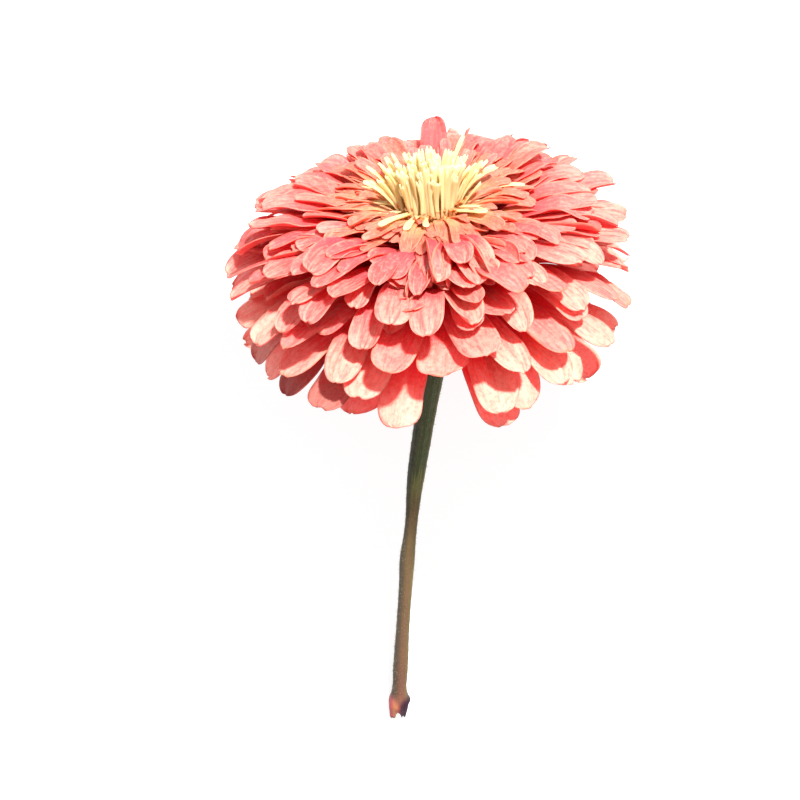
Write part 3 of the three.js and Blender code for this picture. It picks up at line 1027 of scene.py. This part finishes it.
def stem_middle(z):
    """The stem's centre and radius at heights, smooth through its stations."""
    stations = np.array(STEM_STATIONS)[::-1]
    heights = stations[:, 0]
    slopes = np.gradient(stations[:, 1:], heights, axis=0)
    following = np.clip(np.searchsorted(heights, z), 1, len(heights) - 1)
    gap = heights[following] - heights[following - 1]
    t = ((z - heights[following - 1]) / gap)[:, None]
    gap = gap[:, None]
    low, high = stations[following - 1, 1:], stations[following, 1:]
    return (
        (2 * t**3 - 3 * t**2 + 1) * low
        + (t**3 - 2 * t**2 + t) * gap * slopes[following - 1]
        + (3 * t**2 - 2 * t**3) * high
        + (t**3 - t**2) * gap * slopes[following]
    )


def torn_height(angle):
    """Where the stem's skin ends: two prongs at the sides, torn down between them."""
    tear = 2.7 * (1 - np.abs(np.cos(angle))) ** 1.8
    ragged = 0.35 * np.sin(7 * angle + 1) + 0.25 * np.sin(13 * angle) + 0.2 * np.sin(29 * angle)
    return STEM_END_Z + 0.4 + tear + ragged


def stem_skin(angle, z):
    """Points of the stem's ribbed skin at angles and heights of the same shape."""
    centre = stem_middle(z.ravel()).reshape(*z.shape, 3)
    ribs = -0.05 * np.cos(6 * angle) + 0.012 * np.sin(19 * angle + z * 0.05)
    bumps = 0.012 * np.sin(z * 1.9 + 3 * np.sin(angle * 2)) + 0.01 * np.sin(z * 0.7 + angle * 4)
    right = np.exp(-((np.sin(angle / 2) / 0.24) ** 2))
    lump = 0.24 * right * np.exp(-(((z - LUMP_Z) / LUMP_REACH) ** 2))
    radius = centre[..., 2] * (1 + ribs + bumps + lump)
    x = centre[..., 0] + np.cos(angle) * radius
    y = centre[..., 1] + np.sin(angle) * radius
    return np.stack((x, y, z), axis=-1), centre


def ring_heights(angle, edge):
    """Heights of the skin's rings, the last ones on the way to the torn edge."""
    level = np.linspace(STEM_TOP_Z, LEVEL_UNTIL_Z, LEVEL_RINGS)[:, None]
    share = np.linspace(1 / TORN_RINGS, 1, TORN_RINGS)[:, None]
    torn = LEVEL_UNTIL_Z + (edge - LEVEL_UNTIL_Z) * share
    return np.concatenate((np.broadcast_to(level, (LEVEL_RINGS, len(angle))), torn))


def pith_rings(last, centre, edge):
    """Rings that turn in from the torn edge and go up inside the skin to the pith."""
    middles = centre * (1, 1, 0) + (0, 0, 1) * edge[:, None]
    rings = []
    for breadth, rise in INSIDE_RINGS:
        ring = middles + (last - middles) * breadth
        ring[:, 2] = edge + (PITH_Z - edge) * rise
        rings.append(ring)
    pith = stem_middle(np.array([PITH_Z]))[0] * (1, 1, 0) + (0, 0, PITH_Z)
    rings.append(pith + (rings[-1] - pith) * PITH_CLOSED)
    return rings


def make_stem(material):
    """The ribbed skin down to its torn edge, and the pith drawn back inside it."""
    shape = Shape()
    angle = np.linspace(0, math.tau, STEM_SIDES, endpoint=False)
    edge = torn_height(angle)
    z = ring_heights(angle, edge)
    skin, centre = stem_skin(np.broadcast_to(angle, z.shape), z)
    top = centre[0] * (1, 1, 0) + (0, 0, STEM_TOP_Z)
    inside = pith_rings(skin[-1], centre[-1], edge)
    points = np.array([top + (skin[0] - top) * TOP_CLOSED, *skin, *inside])
    torn = np.zeros(points.shape[:2])
    torn[-len(inside) :] = 1
    laid = lay(points)
    laid[..., 2] = np.maximum(laid[..., 2], TABLE_CLEARANCE)
    shape.add(
        laid,
        ring_faces(len(points), STEM_SIDES)[:, ::-1],
        down=((STEM_TOP_Z - points[..., 2]) / (STEM_TOP_Z - STEM_END_Z)).ravel(),
        torn=torn.ravel(),
        round=np.broadcast_to(np.cos(angle), points.shape[:2]).ravel(),
    )
    shape.piece("stem_skin", material, "stem", "stem")


def make_stem_hairs(material):
    """Short stiff hairs, each a small three-sided spike that leans down the stem."""
    shape = Shape()
    draw = seeded_random(HAIR_SEED)
    angle = np.array([draw(0, math.tau) for _ in range(HAIR_COUNT)])
    z = np.array([draw(*HAIR_HEIGHTS) for _ in range(HAIR_COUNT)])
    length = np.array([draw(*HAIR_LENGTHS) for _ in range(HAIR_COUNT)])[:, None]
    root = stem_skin(angle, z)[0]
    out = outwards(angle)
    upright = np.array((0, 0, 1))
    tip = root + (out * 0.9 - upright * 0.35) * length
    foot = root - out * HAIR_SUNK
    aside = sideways(angle) * HAIR_HALF_WIDTH
    corners = foot + aside, foot - aside, foot + upright * HAIR_HALF_WIDTH * 1.5
    points = lay(np.stack((*corners, tip), axis=1))
    above_table = points[..., 2].min(axis=1) > HAIR_CLEARANCE
    points = points[above_table]
    start = np.arange(len(points))[:, None, None] * 4
    faces = np.array(((0, 1, 2), (0, 3, 1), (1, 3, 2), (2, 3, 0))) + start
    shape.add(points, faces.reshape(-1, 3))
    shape.piece("stem_hairs", material, "stem", "stem")


class Result:
    """What a node works out, written in sums like any other number."""

    def __init__(self, nodes, socket):
        self.nodes = nodes
        self.socket = socket

    def calculate(self, operation, other=0.0):
        return self.nodes.made("Math", 0, {0: self, 1: other}, operation=operation)

    def __add__(self, other):
        return self.calculate("ADD", other)

    def __sub__(self, other):
        return self.calculate("SUBTRACT", other)

    def __mul__(self, other):
        return self.calculate("MULTIPLY", other)

    def __abs__(self):
        return self.calculate("ABSOLUTE")

    def or_larger(self, other):
        return self.calculate("MAXIMUM", other)

    def between(self, low, high):
        """Nought at low, one at high, smooth between them."""
        limits = {"Value": self, "From Min": low, "From Max": high}
        return self.nodes.made("MapRange", "Result", limits, interpolation_type="SMOOTHSTEP")


class Nodes:
    """A tree of shader nodes and short ways to add to it."""

    def __init__(self, tree):
        self.tree = tree

    def feed(self, socket, value):
        """Links a socket to a result, or sets it to a number or a colour."""
        if isinstance(value, Result):
            self.tree.links.new(value.socket, socket)
        else:
            socket.default_value = (*value, 1) if isinstance(value, tuple) else value

    def made(self, kind, output, inputs, **settings):
        """A new node's output, once its settings are made and its inputs are fed."""
        node = self.tree.nodes.new("ShaderNode" + kind)
        for name, value in settings.items():
            setattr(node, name, value)
        for name, value in inputs.items():
            self.feed(node.inputs[name], value)
        return Result(self, node.outputs[output])


class Paint(Nodes):
    """A material, with the nodes that its colours and bumps need."""

    def __init__(self, name, roughness):
        self.material = bpy.data.materials.new(name)
        self.material.use_nodes = True
        super().__init__(self.material.node_tree)
        self.shader = self.tree.nodes["Principled BSDF"]
        self.shader.inputs["Roughness"].default_value = roughness

    def value(self, name):
        return self.made("Attribute", "Fac", {}, attribute_name=name)

    def place(self):
        return self.made("TexCoord", "Object", {})

    def scaled(self, *pairs):
        """A place for noise, made of values that are each times a scale."""
        sides = {index: value * scale for index, (value, scale) in enumerate(pairs)}
        return self.made("CombineXYZ", "Vector", sides)

    def noise(self, place, scale, detail=3.0, roughness=0.5):
        inputs = {"Vector": place, "Scale": scale, "Detail": detail, "Roughness": roughness}
        return self.made("TexNoise", "Fac", inputs)

    def steps(self, value, *stops):
        """A colour that changes through stops of (place, colour)."""
        color = self.made("ValToRGB", "Color", {"Fac": value})
        elements = color.socket.node.color_ramp.elements
        while len(elements) < len(stops):
            elements.new(0.5)
        for element, (place, stop_color) in zip(elements, stops):
            element.position = place
            element.color = (*stop_color, 1)
        return color

    def mix(self, factor, a, b, blend="MIX"):
        inputs = {"Factor": factor, "A": a, "B": b}
        return self.made("Mix", "Result", inputs, data_type="RGBA", blend_type=blend)

    def tint(self, color, where, strength, other):
        """Mixes another colour in where a result says, with the given strength at most."""
        return self.mix(where * strength, color, other)

    def color(self, color):
        self.feed(self.shader.inputs["Base Color"], color)

    def bump(self, height, distance, strength=1.0):
        inputs = {"Strength": strength, "Distance": distance, "Height": height}
        normal = self.made("Bump", "Normal", inputs)
        self.feed(self.shader.inputs["Normal"], normal)
        return normal

    def glow_through(self, color, normal, share):
        """Lets light through the thin sheet, in its own colour."""
        surface = Result(self, self.shader.outputs["BSDF"])
        through = self.made("BsdfTranslucent", "BSDF", {"Color": color, "Normal": normal})
        mixed = self.made("MixShader", "Shader", {"Fac": share, 1: surface, 2: through})
        self.feed(self.tree.nodes["Material Output"].inputs["Surface"], mixed)


def petal_values(paint):
    """The petals' mesh values, and the noises and ranges that several layers share."""
    names = ("along", "across", "tone", "tier", "upper", "faded", "dusk")
    at = SimpleNamespace(**{name: paint.value(name) for name in names})
    at.edge = abs(at.across)
    at.outer = at.along.between(0.4, 0.8)
    at.place = paint.place()
    at.streaks = paint.scaled((at.across, 8.0), (at.along, 1.8), (at.tone, 61.0))
    at.vein = paint.noise(at.streaks, 1.0, 4.0, 0.6)
    patches = paint.scaled((at.across, 5.0), (at.along, 8.0), (at.tone, 97.0))
    at.mottle = paint.noise(patches, 1.0, 4.0, 0.65)
    at.lively = at.tier.between(0.06, 0.34)
    at.livelier = at.lively * 0.8 + 0.2
    return at


def petal_rows(paint, at):
    """Each row's colours from root to tip; the lower rows' deep red is partly painted shade, with
    ragged borders.
    """
    # Painted shadow edges: noise makes the border between deep red and pale ragged.
    ragged = at.along + (at.mottle - 0.5) * 0.3
    lowest = paint.steps(
        ragged,
        (0.0, (0.84, 0.095, 0.13)),
        (0.60, (0.86, 0.105, 0.13)),
        (0.735, (0.86, 0.22, 0.18)),
        (0.825, (0.88, 0.50, 0.39)),
        (1.0, (0.89, 0.61, 0.47)),
    )
    # The middle rows' darker red from 0.75 to 0.87 is painted shade.
    middle = paint.steps(
        ragged,
        (0.0, (0.90, 0.065, 0.15)),
        (0.58, (0.88, 0.068, 0.14)),
        (0.75, (0.78, 0.08, 0.11)),
        (0.87, (0.74, 0.125, 0.12)),
        (0.95, (0.78, 0.20, 0.17)),
        (1.0, (0.83, 0.33, 0.27)),
    )
    high = paint.steps(
        at.along,
        (0.0, (0.85, 0.125, 0.125)),
        (0.55, (0.84, 0.13, 0.125)),
        (0.72, (0.83, 0.16, 0.145)),
        (0.87, (0.85, 0.32, 0.265)),
        (1.0, (0.89, 0.47, 0.39)),
    )
    inner = paint.steps(
        at.along,
        (0.0, (0.93, 0.66, 0.30)),
        (0.5, (0.91, 0.52, 0.25)),
        (0.75, (0.86, 0.25, 0.14)),
        (1.0, (0.86, 0.30, 0.21)),
    )
    color = paint.mix(at.tier.between(0.12, 0.5), lowest, middle)
    color = paint.mix(at.tier.between(0.46, 0.64), color, high)
    return paint.mix(at.tier.between(0.66, 0.82), color, inner)


def petal_fading_and_painted_light(paint, at, color):
    """Cream ends, partly faded and partly painted light, most on the lower right side, and a pinker
    tone on some petals.
    """
    cream = paint.mix(at.tier.between(0.2, 0.6), (0.92, 0.67, 0.48), (0.88, 0.43, 0.35))
    # Painted light, partly fading: cream ends, strongest on the lower right.
    color = paint.tint(color, at.faded * at.along.between(0.58, 0.88), 0.85, cream)
    pink = at.tone.between(0.3, 0.95) * at.tier.between(0.9, 0.8) * at.livelier
    return paint.tint(color, pink, 0.5, (0.78, 0.12, 0.15))


def petal_veins(paint, at, color):
    """Dark and pale veins, faint on the lowest petals and strongest round the tuft."""
    striped = at.lively * 0.1 + at.tier.between(0.8, 0.95) * 0.3 + 0.1
    color = paint.tint(color, at.vein.between(0.5, 0.7), striped, (0.82, 0.09, 0.09))
    return paint.tint(color, at.vein.between(0.5, 0.3), striped, (0.97, 0.66, 0.40))


def petal_patches(paint, at, color):
    """Pale clouds, red flushes, freckles, pale dust and dark specks."""
    clouds = at.mottle.between(0.47, 0.66) * at.outer
    color = paint.tint(color, clouds, 0.24, (0.97, 0.72, 0.60))
    flushes = at.mottle.between(0.51, 0.36) * at.tier.between(0.95, 0.75) * at.livelier
    color = paint.tint(color, flushes, 0.65, (0.85, 0.13, 0.14))
    freckle = paint.noise(at.place, 1000.0, 3.0, 0.6)
    color = paint.tint(color, freckle.between(0.5, 0.66), 0.34, (0.80, 0.15, 0.14))
    dust = freckle.between(0.48, 0.34) * at.outer
    color = paint.tint(color, dust, 0.17, (0.97, 0.76, 0.64))
    specks = paint.noise(at.place, 2300.0, 2.0).between(0.62, 0.74) * at.outer
    return paint.tint(color, specks, 0.35, (0.55, 0.15, 0.12))


def petal_edges(paint, at, color):
    """A pale or orange rim, a thin brown outline, and painted shade in maroon on the lowest left
    petals.
    """
    rim = (at.edge.between(0.88, 1.0) * at.outer).or_larger(at.along.between(0.97, 1.0))
    rim = rim * at.mottle.between(0.36, 0.6)
    rim_color = paint.mix(at.tone.between(0.74, 0.86), (0.96, 0.78, 0.58), (0.92, 0.46, 0.16))
    color = paint.tint(color, rim, 0.5, rim_color)
    outline = at.edge.between(0.93, 1.0).or_larger(at.along.between(0.985, 1.0)) * at.outer
    color = paint.tint(color, outline, 0.45, (0.68, 0.24, 0.16))
    # Painted shade: maroon on the lowest petals of the left side.
    return paint.tint(color, at.dusk, 0.8, (0.30, 0.035, 0.04))


def petal_paint():
    """Salmon petals: deep red at the root, partly painted shade, pale at the end, cream round the
    tuft.
    """
    paint = Paint("petal", 0.6)
    at = petal_values(paint)
    color = petal_rows(paint, at)
    for layer in (petal_fading_and_painted_light, petal_veins, petal_patches, petal_edges):
        color = layer(paint, at, color)
    under = paint.mix(0.4, color, (0.90, 0.34, 0.22))
    color = paint.mix(at.upper, under, color)
    paint.color(color)
    fine = paint.noise(at.streaks, 3.0, 3.0)
    wrinkle = paint.noise(at.place, 800.0, 3.0)
    normal = paint.bump(at.vein * 0.4 + fine * 0.15 + wrinkle * 0.5, 0.0008, 0.8)
    warmth = paint.mix(at.tier.between(0.74, 0.9), (1.0, 0.42, 0.65), (0.96, 0.72, 0.52))
    paint.glow_through(paint.mix(1.0, color, warmth, "MULTIPLY"), normal, 0.6)
    return paint.material


def strap_paint(name, root, body, tip, streak):
    """Pale straps, finely ribbed along their length."""
    paint = Paint(name, 0.6)
    along = paint.value("along")
    color = paint.steps(along, (0.0, root), (0.25, body), (0.8, body), (1.0, tip))
    ribs = paint.scaled((paint.value("across"), 5.0), (along, 2.5), (paint.value("tone"), 47.0))
    grain = paint.noise(ribs, 1.0)
    color = paint.tint(color, grain.between(0.48, 0.7), 0.45, streak)
    paint.color(color)
    paint.glow_through(color, paint.bump(grain, 0.0003, 0.6), 0.62)
    return paint.material


def grained_paint(name, roughness, grain, *stops, bump=None):
    """A plain material whose colour goes through its stops with a fine grain."""
    paint = Paint(name, roughness)
    grain = paint.noise(paint.place(), *grain)
    paint.color(paint.steps(grain, *stops))
    if bump:
        paint.bump(grain, bump)
    return paint.material


def bract_paint():
    """Green scales with a dark fringed margin."""
    paint = Paint("bract", 0.65)
    along = paint.value("along")
    across = paint.value("across")
    grain = paint.noise(paint.place(), 500.0, 4.0)
    color = paint.steps(
        along,
        (0.0, (0.17, 0.22, 0.065)),
        (0.6, (0.10, 0.155, 0.035)),
        (1.0, (0.075, 0.11, 0.025)),
    )
    color = paint.tint(color, grain, 0.5, (0.17, 0.20, 0.07))
    rib = paint.noise(paint.scaled((across, 7.0), (along, 1.2), (paint.value("tone"), 31.0)), 1.0)
    color = paint.tint(color, rib.between(0.5, 0.68), 0.5, (0.05, 0.075, 0.02))
    margin = along.between(0.76, 0.9).or_larger(abs(across).between(0.8, 0.95) * 0.8)
    paint.color(paint.mix(margin, color, (0.035, 0.018, 0.012)))
    paint.bump(grain + rib * 0.7, 0.0004)
    return paint.material


def torn_end_color(paint, side, grain):
    """The torn end: orange-brown, crimson at the far left and dark maroon at the right."""
    color = paint.steps(
        side + grain * 0.5,
        (0.0, (0.30, 0.11, 0.05)),
        (0.28, (0.16, 0.035, 0.03)),
        (0.42, (0.03, 0.008, 0.016)),
        (1.0, (0.022, 0.006, 0.014)),
    )
    return paint.tint(color, side.between(-0.45, -0.8), 0.8, (0.26, 0.035, 0.06))


def stem_paint():
    """Dark green under the bloom, partly painted shade, then an olive band of painted light, then
    brown down to the torn end.
    """
    paint = Paint("stem", 0.6)
    paint.shader.inputs["Specular IOR Level"].default_value = 0.2
    down = paint.value("down")
    side = paint.value("round")
    grain = paint.noise(paint.place(), 420.0, 4.0)
    streak = paint.noise(paint.scaled((side, 4.0), (down, 5.0)), 2.0, 4.0)
    # Painted shade in the dark green under the bloom, and painted light in the lighter olive band
    # from 0.345 to 0.42, where the bloom's shadow ends.
    color = paint.steps(
        down + (streak - 0.5) * 0.2 + side * 0.02,
        (0.0, (0.05, 0.068, 0.025)),
        (0.32, (0.06, 0.072, 0.024)),
        (0.345, (0.15, 0.145, 0.04)),
        (0.38, (0.14, 0.11, 0.036)),
        (0.42, (0.13, 0.08, 0.034)),
        (0.54, (0.10, 0.062, 0.027)),
        (0.8, (0.10, 0.052, 0.028)),
        (0.955, (0.11, 0.042, 0.028)),
        (1.0, (0.09, 0.024, 0.02)),
    )
    # Painted light: the right side, towards the key light, goes olive. Painted shade: the left side
    # goes dark.
    color = paint.tint(color, side.between(0.4, 0.95), 0.6, (0.10, 0.09, 0.028))
    color = paint.tint(color, side.between(-0.1, -0.8), 0.75, (0.03, 0.03, 0.025))
    color = paint.tint(color, grain.between(0.55, 0.75), 0.4, (0.06, 0.04, 0.02))
    end = (down + abs(side) * 0.016).between(0.937, 0.965)
    color = paint.mix(end, color, torn_end_color(paint, side, grain))
    paint.color(paint.mix(paint.value("torn"), color, (0.075, 0.022, 0.02)))
    paint.bump(grain + streak * 0.6, 0.0004, 0.8)
    return paint.material


def make_floor():
    """A plain pale table top."""
    mesh = bpy.data.meshes.new("floor")
    corners = [(x * TABLE_HALF, y * TABLE_HALF, 0) for x, y in ((-1, -1), (1, -1), (1, 1), (-1, 1))]
    mesh.from_pydata(corners, [], [(0, 1, 2, 3)])
    floor = bpy.data.objects.new("floor", mesh)
    bpy.context.collection.objects.link(floor)
    paint = Paint("floor", 0.9)
    paint.shader.inputs["Base Color"].default_value = (TABLE_GREY, TABLE_GREY, TABLE_GREY, 1)
    paint.shader.inputs["Emission Color"].default_value = (1, 1, 1, 1)
    paint.shader.inputs["Emission Strength"].default_value = TABLE_GLOW
    mesh.materials.append(paint.material)


def lay_direction(direction):
    """A direction of the upright flower as it is once the flower lies."""
    return Matrix.Rotation(math.radians(LYING_TILT - 90), 3, "X") @ Vector(direction)


def make_key():
    """A sun from above the bloom, in front of it and to its right."""
    angle, turn = math.radians(KEY_FROM_AXIS), math.radians(KEY_TO_RIGHT)
    from_light = (
        math.sin(angle) * math.sin(turn),
        -math.sin(angle) * math.cos(turn),
        math.cos(angle),
    )
    sun = bpy.data.lights.new("key", "SUN")
    sun.energy = KEY_STRENGTH
    sun.angle = math.radians(KEY_BREADTH)
    sun.color = KEY_COLOR
    key = bpy.data.objects.new("key", sun)
    key.rotation_euler = lay_direction(from_light).to_track_quat("Z", "Y").to_euler()
    bpy.context.collection.objects.link(key)


def make_sky():
    """A white studio all round, brighter near the horizon so that low views stay white."""
    world = bpy.data.worlds.new("studio")
    world.use_nodes = True
    nodes = Nodes(world.node_tree)
    direction = nodes.made("TexCoord", "Generated", {})
    steepness = nodes.made("SeparateXYZ", "Z", {"Vector": direction})
    fade = {
        "Value": steepness,
        "From Min": HORIZON_STEEPNESS[0],
        "From Max": HORIZON_STEEPNESS[1],
        "To Min": HORIZON_STRENGTH,
        "To Max": SKY_STRENGTH,
    }
    background = world.node_tree.nodes["Background"].inputs
    background["Color"].default_value = (1, 1, 1, 1)
    nodes.feed(background["Strength"], nodes.made("MapRange", "Result", fade))
    bpy.context.scene.world = world
    bpy.context.scene.view_settings.view_transform = "Standard"


def make_camera():
    """The photo's view, worked out for the upright flower and laid down with it."""
    elevation, roll = math.radians(VIEW_ELEVATION), math.radians(VIEW_ROLL)
    level_right = Vector((1, 0, 0))
    level_up = Vector((0, math.sin(elevation), math.cos(elevation)))
    forward = Vector((0, math.cos(elevation), -math.sin(elevation)))
    right = level_right * math.cos(roll) - level_up * math.sin(roll)
    up = level_right * math.sin(roll) + level_up * math.cos(roll)
    position = right * VIEW_MIDDLE[0] + up * VIEW_MIDDLE[1] - forward * VIEW_DISTANCE
    position = Vector(lay(position)) * MM
    axes = [lay_direction(axis) for axis in (right, up, -forward)]
    data = bpy.data.cameras.new("camera")
    data.lens = LENS
    data.sensor_width = SENSOR_WIDTH
    data.clip_start = 0.01
    camera = bpy.data.objects.new("camera", data)
    bpy.context.collection.objects.link(camera)
    camera.matrix_world = Matrix.Translation(position) @ Matrix(axes).transposed().to_4x4()
    bpy.context.scene.camera = camera


def make_bloom():
    """The petals and what they grow from."""
    make_rays(petal_paint())
    dark_red, red = (0.30, 0.03, 0.02), (0.55, 0.10, 0.06)
    make_core(grained_paint("core", 0.8, (600.0, 3.0), (0.3, dark_red), (0.7, red), bump=0.0004))


def make_middle():
    """The tuft, and what lies round its foot."""
    cream = strap_paint(
        "cream_strap",
        root=(0.84, 0.56, 0.25),
        body=(0.90, 0.79, 0.47),
        tip=(0.92, 0.84, 0.57),
        streak=(0.80, 0.60, 0.28),
    )
    make_tuft(cream)
    make_quills(cream)
    stops = (0.35, (0.50, 0.16, 0.05)), (0.65, (0.78, 0.42, 0.12))
    make_cushion(grained_paint("cushion", 0.75, (900.0, 3.0), *stops, bump=0.0006))
    brown = strap_paint(
        "palea",
        root=(0.55, 0.16, 0.05),
        body=(0.74, 0.30, 0.09),
        tip=(0.82, 0.50, 0.20),
        streak=(0.50, 0.08, 0.03),
    )
    make_paleae(brown)


def make_green_parts():
    """The involucre and the stem."""
    green = bract_paint()
    make_cup(green)
    make_bracts(green)
    make_stem(stem_paint())
    stops = (0.3, (0.16, 0.14, 0.07)), (0.7, (0.26, 0.24, 0.14))
    make_stem_hairs(grained_paint("hair", 0.5, (300.0, 2.0), *stops))


make_bloom()
make_middle()
make_green_parts()
make_floor()
make_key()
make_sky()
make_camera()
